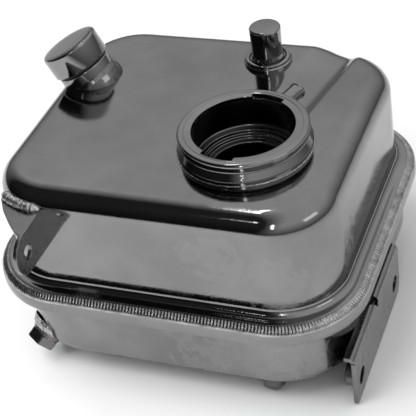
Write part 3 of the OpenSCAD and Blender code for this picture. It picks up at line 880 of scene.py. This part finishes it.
def side_bracket_skin():
    """Upright plate with two holes, its rolled top with the dart cut in it, and the welded leg."""
    edge = PLATE_EDGE
    bend_inside = 1.0
    bend_outside = bend_inside + PLATE
    top = BRACKET_TOP - bend_outside
    dart_front, dart_tip, dart_back = -7.9, -5.3, -4.99
    dart_depth = 2.5
    bend_steps = 12
    span_steps = 8
    outline = rounded_line(
        [
            (BRACKET_FRONT, top), (BRACKET_FRONT, BRACKET_BOTTOM), (BRACKET_BACK, BRACKET_BOTTOM),
            (BRACKET_BACK, top),
            (dart_back, top), (dart_tip, top - dart_depth), (dart_front, top),
        ],
        [0, 1.2, 6.0, 0, 0, 0.2, 0],
        steps=8,
        closed=True,
    )
    holes = [(y, -BOLT_DROP, BOLT_HOLE) for y in BOLT_PLACES]
    plate_part = plate_outline(
        "side_plate",
        inset_loop(outline, edge),
        holes,
        PLATE,
        edge,
        lambda y, z, x: (SIDE_FACE - PLATE / 2 + x, y, z),
    )
    parts = [plate_part]
    # front and back ends of each half of the bend: at the plate, then at the leg
    front_end = BRACKET_FRONT + edge * 0.3
    back_end = BRACKET_BACK - edge * 0.3
    spans = [(front_end, front_end, dart_front, -11.2), (dart_back, -4.6, back_end, back_end)]
    bend_x = SIDE_FACE - bend_outside
    sink = 0.4
    leg_end = PAN_RIGHT - 0.5
    outer = [(SIDE_FACE, top - sink, 0.0)]
    inner = [(SIDE_FACE - PLATE, top - sink, 0.0)]
    for k in range(bend_steps + 1):
        t = k / bend_steps
        a = math.radians(90 * t)
        outer.append((bend_x + bend_outside * math.cos(a), top + bend_outside * math.sin(a), t))
        inner.append((bend_x + bend_inside * math.cos(a), top + bend_inside * math.sin(a), t))
    outer.append((leg_end, BRACKET_TOP, 1.0))
    inner.append((leg_end, BRACKET_TOP - PLATE, 1.0))
    loop = outer + inner[::-1]
    ring = len(loop)
    columns = span_steps + 1
    last = (ring - 1) * columns
    for near_low, near_high, far_low, far_high in spans:
        points = []
        for x, z, t in loop:
            start = near_low + (near_high - near_low) * t
            end = far_low + (far_high - far_low) * t
            points += [(x, start + (end - start) * k / span_steps, z) for k in range(columns)]
        faces = grid_faces(ring, columns, closed=False)
        faces += [(last + k, last + k + 1, k + 1, k) for k in range(span_steps)]
        faces.append(tuple(i * columns for i in range(ring)))
        faces.append(tuple(i * columns + span_steps for i in reversed(range(ring))))
        parts.append((points, faces))
    points, faces = join_parts(parts)
    return make_mesh("side_bracket_skin", points, faces, 40)


def front_bracket_skin():
    """Flat gusset on the front left corner, folded down into the ear with its hole."""
    edge = PLATE_EDGE
    top = -EAR_DROP + EAR_RADIUS
    ear_back = -46.0
    ear = [(ear_back, top - 0.6), (ear_back, -EAR_DROP - EAR_RADIUS)]
    ear += arc((EAR_FRONT, -EAR_DROP), EAR_RADIUS, 270, 90, 24)
    ear_part = plate_outline(
        "ear_plate",
        inset_loop(ear, edge),
        [(EAR_FRONT, -EAR_DROP, EAR_HOLE)],
        PLATE,
        edge,
        lambda y, z, x: (-EAR_LEFT - PLATE / 2 + x, y, z),
    )
    gusset = [
        (-EAR_LEFT, -44.0), (-EAR_LEFT, -68.4), (-80.0, -66.2), (-86.0, -60.3),
        (-92.5, -52.8), (-97.0, -45.9), (-98.2, -42.5), (-94.0, -38.0),
    ]
    gusset = rounded_line(gusset, [0, 1.5, 3, 8, 8, 4, 1.5, 0], 6, closed=True)
    gusset_part = plate_outline(
        "gusset_plate",
        inset_loop(gusset, edge),
        [],
        PLATE,
        edge,
        lambda x, y, z: (x, y, top - PLATE / 2 + z),
    )
    points, faces = join_parts([ear_part, gusset_part])
    return make_mesh("front_bracket_skin", points, faces, 40)


def front_weld_skin():
    """The lumpy weld that joins the gusset to the tank's corner."""
    corner_x = TANK_CENTRE[0] - FLANGE_LENGTH / 2 + FLANGE_CORNER
    corner_y = TANK_CENTRE[1] - FLANGE_DEPTH / 2 + FLANGE_CORNER
    first_turn, arc = 226, 47
    bead_radius = 2.2
    height = -6.9
    columns = 150
    around = 16
    points = []
    for j in range(columns):
        t = j / (columns - 1)
        along = t * 34
        turn = math.radians(first_turn + arc * t)
        taper = min(1.0, 6 * t, 6 * (1 - t)) ** 0.5
        for k in range(around):
            a = 2 * math.pi * k / around
            ripple = 0.16 * abs(math.sin(along))
            ripple += 0.35 * noise.noise(Vector((along, math.cos(a), math.sin(a))))
            bead = (bead_radius + ripple) * max(taper, 0.15)
            out = WALL_TOP_RADIUS + 0.3 + bead * 1.1 * math.cos(a)
            points.append(
                (
                    corner_x + out * math.cos(turn),
                    corner_y + out * math.sin(turn),
                    height + bead * math.sin(a),
                )
            )
    return make_mesh("front_bracket_weld_skin", points, grid_faces(columns, around), 60)


# ---------------------------------------------------------------- materials
def new_material(name):
    """A material with its nodes, its links and its main shader."""
    material = bpy.data.materials.new(name)
    material.use_nodes = True
    nodes = material.node_tree.nodes
    return material, nodes, material.node_tree.links, nodes["Principled BSDF"]


def noise_node(nodes, links, coords, scale, detail, rough):
    """A noise texture fixed to the object. Scale is in waves per metre, roughly."""
    texture = nodes.new("ShaderNodeTexNoise")
    texture.inputs["Scale"].default_value = scale
    texture.inputs["Detail"].default_value = detail
    texture.inputs["Roughness"].default_value = rough
    links.new(coords.outputs["Object"], texture.inputs["Vector"])
    return texture


def ramp(nodes, links, source, low, high, low_value, high_value):
    """Maps a texture onto a range of greys or plain numbers."""
    node = nodes.new("ShaderNodeMapRange")
    node.inputs["From Min"].default_value = low
    node.inputs["From Max"].default_value = high
    node.inputs["To Min"].default_value = low_value
    node.inputs["To Max"].default_value = high_value
    links.new(source, node.inputs["Value"])
    return node.outputs["Result"]


def colour_ramp(nodes, links, source, stops):
    """Blends between two (position, colour) stops."""
    node = nodes.new("ShaderNodeValToRGB")
    for element, (position, colour) in zip(node.color_ramp.elements, stops):
        element.position = position
        element.color = (*colour, 1)
    links.new(source, node.inputs["Fac"])
    return node.outputs["Color"]


def bump(nodes, links, shader, layers):
    """Chains bump layers of (height output, strength, distance in metres)."""
    normal = None
    for height, strength, distance in layers:
        node = nodes.new("ShaderNodeBump")
        node.inputs["Strength"].default_value = strength
        node.inputs["Distance"].default_value = distance
        links.new(height, node.inputs["Height"])
        if normal is not None:
            links.new(normal, node.inputs["Normal"])
        normal = node.outputs["Normal"]
    links.new(normal, shader.inputs["Normal"])


def polished_steel(name, grey, rough_low, rough_high, blotch=0.0, wave=0.06):
    """Smooth steel with faint patches, uneven haze, long waves and a fine grain."""
    material, nodes, links, shader = new_material(name)
    coords = nodes.new("ShaderNodeTexCoord")
    shader.inputs["Metallic"].default_value = 1.0
    patches = noise_node(nodes, links, coords, 38, 5, 0.6)
    dark = (grey * (0.90 - blotch),) * 3
    light = (grey * (1.08 + blotch),) * 3
    colour = colour_ramp(nodes, links, patches.outputs["Fac"], [(0.35, dark), (0.68, light)])
    links.new(colour, shader.inputs["Base Color"])
    haze = noise_node(nodes, links, coords, 90, 6, 0.65)
    rough = ramp(nodes, links, haze.outputs["Fac"], 0.35, 0.7, rough_low, rough_high)
    links.new(rough, shader.inputs["Roughness"])
    long_wave = noise_node(nodes, links, coords, 28, 2, 0.4)
    grain = noise_node(nodes, links, coords, 900, 3, 0.6)
    bump(
        nodes,
        links,
        shader,
        [(long_wave.outputs["Fac"], wave, 0.004), (grain.outputs["Fac"], 0.05, 0.0004)],
    )
    return material


# The blotches' paler colour is partly smudges and partly painted light on the front and right walls.
PALE_SMUDGE_AND_LIGHT_SHARE = 0.35
HAZE_ROUGHNESS = 0.16


def add_smudges_and_painted_light(material, centres, radius, gain):
    """Paler, rougher blotches near the given tank points, on a polished skin: partly smudges, partly
    painted light that lightens the walls round those points.
    """
    nodes = material.node_tree.nodes
    links = material.node_tree.links
    shader = nodes["Principled BSDF"]
    coords = nodes.new("ShaderNodeTexCoord")
    spots = noise_node(nodes, links, coords, 120, 6, 0.7)
    total = None
    for centre_point in centres:
        away = nodes.new("ShaderNodeVectorMath")
        away.operation = "DISTANCE"
        links.new(coords.outputs["Object"], away.inputs[0])
        away.inputs[1].default_value = to_frame([centre_point])[0]
        near = ramp(nodes, links, away.outputs["Value"], radius * MM * 0.3, radius * MM, 0.16, -0.25)
        if total is None:
            total = near
        else:
            either = nodes.new("ShaderNodeMath")
            either.operation = "MAXIMUM"
            links.new(total, either.inputs[0])
            links.new(near, either.inputs[1])
            total = either.outputs["Value"]
    mixed = nodes.new("ShaderNodeMath")
    mixed.operation = "ADD"
    links.new(spots.outputs["Fac"], mixed.inputs[0])
    links.new(total, mixed.inputs[1])
    mask = ramp(nodes, links, mixed.outputs["Value"], 0.60, 0.64, 0.0, 1.0)
    old_colour = shader.inputs["Base Color"].links[0].from_socket
    old_rough = shader.inputs["Roughness"].links[0].from_socket
    share = ramp(nodes, links, mask, 0.0, 1.0, 0.0, PALE_SMUDGE_AND_LIGHT_SHARE)
    paler = nodes.new("ShaderNodeMix")
    paler.data_type = "RGBA"
    colour_a, colour_b = [i for i in paler.inputs if i.type == "RGBA"]
    colour_b.default_value = (gain, gain, gain, 1)
    links.new(share, paler.inputs[0])
    links.new(old_colour, colour_a)
    pale_colour = [o for o in paler.outputs if o.type == "RGBA"][0]
    links.new(pale_colour, shader.inputs["Base Color"])
    duller = nodes.new("ShaderNodeMath")
    duller.operation = "MULTIPLY_ADD"
    duller.inputs[1].default_value = HAZE_ROUGHNESS
    links.new(mask, duller.inputs[0])
    links.new(old_rough, duller.inputs[2])
    links.new(duller.outputs["Value"], shader.inputs["Roughness"])
    return material


def rough_metal(name, base, rough_low, rough_high, lumps, fine):
    """Worn or welded metal with strong patches, lumps and a fine grain."""
    material, nodes, links, shader = new_material(name)
    coords = nodes.new("ShaderNodeTexCoord")
    shader.inputs["Metallic"].default_value = 1.0
    patches = noise_node(nodes, links, coords, 160, 6, 0.65)
    dark = tuple(c * 0.55 for c in base)
    light = tuple(min(1.0, c * 1.25) for c in base)
    links.new(
        colour_ramp(nodes, links, patches.outputs["Fac"], [(0.3, dark), (0.7, light)]),
        shader.inputs["Base Color"],
    )
    haze = noise_node(nodes, links, coords, 420, 5, 0.7)
    links.new(
        ramp(nodes, links, haze.outputs["Fac"], 0.35, 0.7, rough_low, rough_high),
        shader.inputs["Roughness"],
    )
    lumpy = noise_node(nodes, links, coords, 520, 4, 0.6)
    grain = noise_node(nodes, links, coords, 2400, 3, 0.6)
    bump(
        nodes,
        links,
        shader,
        [(lumpy.outputs["Fac"], lumps, 0.0012), (grain.outputs["Fac"], fine, 0.0003)],
    )
    return material


def soft_material(name, base, rough, grain_scale):
    """Rubber or felt."""
    material, nodes, links, shader = new_material(name)
    coords = nodes.new("ShaderNodeTexCoord")
    patches = noise_node(nodes, links, coords, 300, 5, 0.6)
    dark = tuple(c * 0.7 for c in base)
    light = tuple(min(1.0, c * 1.2) for c in base)
    links.new(
        colour_ramp(nodes, links, patches.outputs["Fac"], [(0.3, dark), (0.7, light)]),
        shader.inputs["Base Color"],
    )
    grain = noise_node(nodes, links, coords, grain_scale, 4, 0.6)
    links.new(
        ramp(nodes, links, grain.outputs["Fac"], 0.3, 0.7, rough - 0.08, rough + 0.08),
        shader.inputs["Roughness"],
    )
    bump(nodes, links, shader, [(grain.outputs["Fac"], 0.35, 0.0005)])
    return material


MATERIALS = {
    "upper": polished_steel("polished_plate", 0.235, 0.05, 0.13),
    "lower": polished_steel("polished_pan", 0.230, 0.12, 0.26, 0.06, 0.12),
    "fitting": polished_steel("polished_fitting", 0.25, 0.05, 0.11, 0.0, 0.03),
    "bracket": polished_steel("satin_bracket", 0.215, 0.20, 0.34, 0.08, 0.12),
    # darker grey for the filler throat: painted shade inside the neck
    "inside": polished_steel("throat_painted_shade", 0.13, 0.14, 0.26, 0.05, 0.05),
    "flare": rough_metal("flare_metal", (0.20, 0.20, 0.20), 0.10, 0.20, 0.05, 0.05),
    "weld_metal": rough_metal("weld_metal", (0.55, 0.55, 0.55), 0.14, 0.42, 0.6, 0.25),
    "seam": rough_metal("seam_metal", (0.40, 0.40, 0.40), 0.20, 0.36, 0.12, 0.08),
    # darker grey: painted shade on the outlet stub under the pan, and the plain look of CAD steel
    # pieces
    "dull_and_shaded": rough_metal("dull_steel_and_painted_shade", (0.15, 0.15, 0.15), 0.28, 0.48, 0.10, 0.12),
    "black_rubber": soft_material("black_rubber", (0.015, 0.015, 0.015), 0.62, 1400),
    "copper": rough_metal("copper_washer", (0.27, 0.245, 0.235), 0.25, 0.40, 0.08, 0.08),
    "brass_mesh": rough_metal("brass_mesh", (0.42, 0.32, 0.16), 0.30, 0.45, 0.10, 0.10),
    "felt": soft_material("pressed_felt", (0.42, 0.38, 0.30), 0.85, 2200),
}
# the look of a CAD piece without its own skin, by material slot
CAD_LOOKS = {
    "polished_steel": "fitting",
    "plain_steel": "dull_and_shaded",
    "weld_metal": "weld_metal",
    "black_rubber": "black_rubber",
    "copper": "copper",
    "brass_mesh": "brass_mesh",
    "felt": "felt",
}
# the look of a skin that names no other, by material slot
SLOT_LOOKS = {"polished_steel": "fitting", "plain_steel": "bracket", "weld_metal": "weld_metal"}

# Pale blotches on the front and right walls: partly smudges, partly painted light.
add_smudges_and_painted_light(MATERIALS["upper"], [(24, -48, -32), (0, -50, -24), (38, -20, -34)], 34, 0.30)
add_smudges_and_painted_light(MATERIALS["lower"], [(30, -52, -72), (-10, -53, -72), (49, 0, -70)], 36, 0.30)


def dress(obj, look):
    """Gives an object one of the named materials."""
    obj.data.materials.clear()
    obj.data.materials.append(MATERIALS[look])


def place_piece(obj, node, body, look):
    """Puts a skin in place of a CAD node, on its body and look."""
    if node is not None:
        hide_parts(node)
    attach(obj, body)
    dress(obj, look)


for part in frame["record"]["subparts"]:
    dress(frame["nodes"][part["node"]], CAD_LOOKS[part["material_slot"]])

place_piece(upper_skin(), "upper_shell", "tank", "upper")
place_piece(lower_skin(), "lower_shell", "tank", "lower")
place_piece(seam_weld_skin(), "seam_weld", "tank", "seam")
for piece, node, body, slot, *own_look in neck_pieces() + port_pieces() + drain_pieces():
    place_piece(piece, node, body, own_look[0] if own_look else SLOT_LOOKS[slot])
place_piece(side_bracket_skin(), "side_bracket", "tank", "bracket")
place_piece(front_bracket_skin(), "front_bracket", "tank", "bracket")
place_piece(front_weld_skin(), "front_bracket_weld", "tank", "weld_metal")

# ---------------------------------------------------------------- floor
FLOOR_GAP = 0.0005
FLOOR_REACH = 6.0
low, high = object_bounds()
floor_z = low.z - FLOOR_GAP
floor_mesh = bpy.data.meshes.new("floor")
floor_mesh.from_pydata(
    [
        (x * FLOOR_REACH, y * FLOOR_REACH, floor_z)
        for x, y in [(-1, -1), (1, -1), (1, 1), (-1, 1)]
    ],
    [],
    [(0, 1, 2, 3)],
)
floor = bpy.data.objects.new("floor", floor_mesh)
bpy.context.scene.collection.objects.link(floor)
floor_material, _, _, floor_shader = new_material("pale_floor")
floor_shader.inputs["Base Color"].default_value = (0.86, 0.86, 0.86, 1)
floor_shader.inputs["Roughness"].default_value = 0.9
floor.data.materials.append(floor_material)

# ---------------------------------------------------------------- surroundings
# Pale grey all round, fading to black on one upper side, and dimmer towards the horizon.
DARK_SIDE = Vector((-0.70, -0.50, 0.50)).normalized()
PALE_STOP = (0.70, (0.86, 0.86, 0.86))
BLACK_STOP = (0.88, (0.04, 0.04, 0.04))
HORIZON_BAND = (0.02, 0.62)
HORIZON_SHARE = 0.20

world = bpy.data.worlds.new("studio")
bpy.context.scene.world = world
world.use_nodes = True
world_nodes = world.node_tree.nodes
world_links = world.node_tree.links
background = world_nodes["Background"]
world_coords = world_nodes.new("ShaderNodeTexCoord")
facing = world_nodes.new("ShaderNodeVectorMath")
facing.operation = "DOT_PRODUCT"
facing.inputs[1].default_value = DARK_SIDE
world_links.new(world_coords.outputs["Generated"], facing.inputs[0])
facing_share = ramp(world_nodes, world_links, facing.outputs["Value"], -1.0, 1.0, 0.0, 1.0)
shade = colour_ramp(world_nodes, world_links, facing_share, [PALE_STOP, BLACK_STOP])
split = world_nodes.new("ShaderNodeSeparateXYZ")
world_links.new(world_coords.outputs["Generated"], split.inputs["Vector"])
horizon = ramp(world_nodes, world_links, split.outputs["Z"], *HORIZON_BAND, HORIZON_SHARE, 1.0)
dimmed = world_nodes.new("ShaderNodeVectorMath")
dimmed.operation = "SCALE"
world_links.new(shade, dimmed.inputs[0])
world_links.new(horizon, dimmed.inputs["Scale"])
world_links.new(dimmed.outputs["Vector"], background.inputs["Color"])
background.inputs["Strength"].default_value = 1.0


# ---------------------------------------------------------------- lights
def from_angles(azimuth, elevation):
    """A direction from the object: azimuth 0 is the front, 90 the right."""
    a, e = math.radians(azimuth), math.radians(elevation)
    return (math.sin(a) * math.cos(e), -math.cos(a) * math.cos(e), math.sin(e))


def pointed(place, across, along, back):
    """A matrix that puts an object's X, Y and Z along three directions at a place."""
    turn = Matrix(
        (
            (across.x, along.x, back.x),
            (across.y, along.y, back.y),
            (across.z, along.z, back.z),
        )
    )
    return Matrix.Translation(place) @ turn.to_4x4()


def area_light(name, seen_from, direction, distance, width, length, brightness, long_way=UP):
    """A soft rectangular light that faces a tank point. Its length runs along long_way."""
    data = bpy.data.lights.new(name, "AREA")
    data.shape = "RECTANGLE"
    data.size = width
    data.size_y = length
    data.energy = brightness * math.pi * width * length
    light = bpy.data.objects.new(name, data)
    bpy.context.scene.collection.objects.link(light)
    towards = Vector(direction).normalized()
    along = Vector(long_way)
    along = (along - towards * along.dot(towards)).normalized()
    across = along.cross(towards)
    place = Vector(to_frame([seen_from])[0]) + towards * distance
    light.matrix_world = pointed(place, across, along, towards)
    return light


BACKWARD = (0.0, 1.0, 0.0)
# The key light only brightens: its mirror image would be a hard patch on the steel.
key = area_light("key_light", (*TANK_CENTRE, 0), (-0.55, -0.35, 0.95), 1.5, 1.3, 1.3, 5.2)
key.visible_glossy = False
area_light("ceiling_strip", (27, -42, 0), (-0.29, 0.35, 0.88), 1.2, 0.034, 0.46, 14.0, BACKWARD)
area_light("front_strip", (7.9, -26.1, 1.8), from_angles(10.3, 36.7), 1.1, 0.06, 0.42, 9.0)
area_light("front_lamp", (27.4, -46.5, -2.5), (-0.29, -0.54, 0.79), 1.2, 0.03, 0.10, 9.0)
area_light("side_window", (-5.4, 61.3, 11.6), from_angles(77, 30), 1.3, 0.55, 0.26, 1.4)

# ---------------------------------------------------------------- camera
CAMERA_PLACE = (175.20, -411.70, 314.76)
CAMERA_RIGHT = Vector((0.93264, 0.33695, -0.12902))
CAMERA_FORWARD = Vector((-0.34237, 0.71361, -0.61118))
CAMERA_LENS = 111.01
CAMERA_SENSOR = 36.0
camera_data = bpy.data.cameras.new("camera")
camera_data.lens = CAMERA_LENS
camera_data.sensor_width = CAMERA_SENSOR
camera_data.clip_start = 0.01
camera_data.clip_end = 50
camera = bpy.data.objects.new("camera", camera_data)
bpy.context.scene.collection.objects.link(camera)
right = CAMERA_RIGHT.normalized()
backward = -CAMERA_FORWARD.normalized()
upward = backward.cross(right).normalized()
camera.matrix_world = pointed(Vector(to_frame([CAMERA_PLACE])[0]), right, upward, backward)
bpy.context.scene.camera = camera
bpy.context.scene.view_settings.view_transform = "Standard"
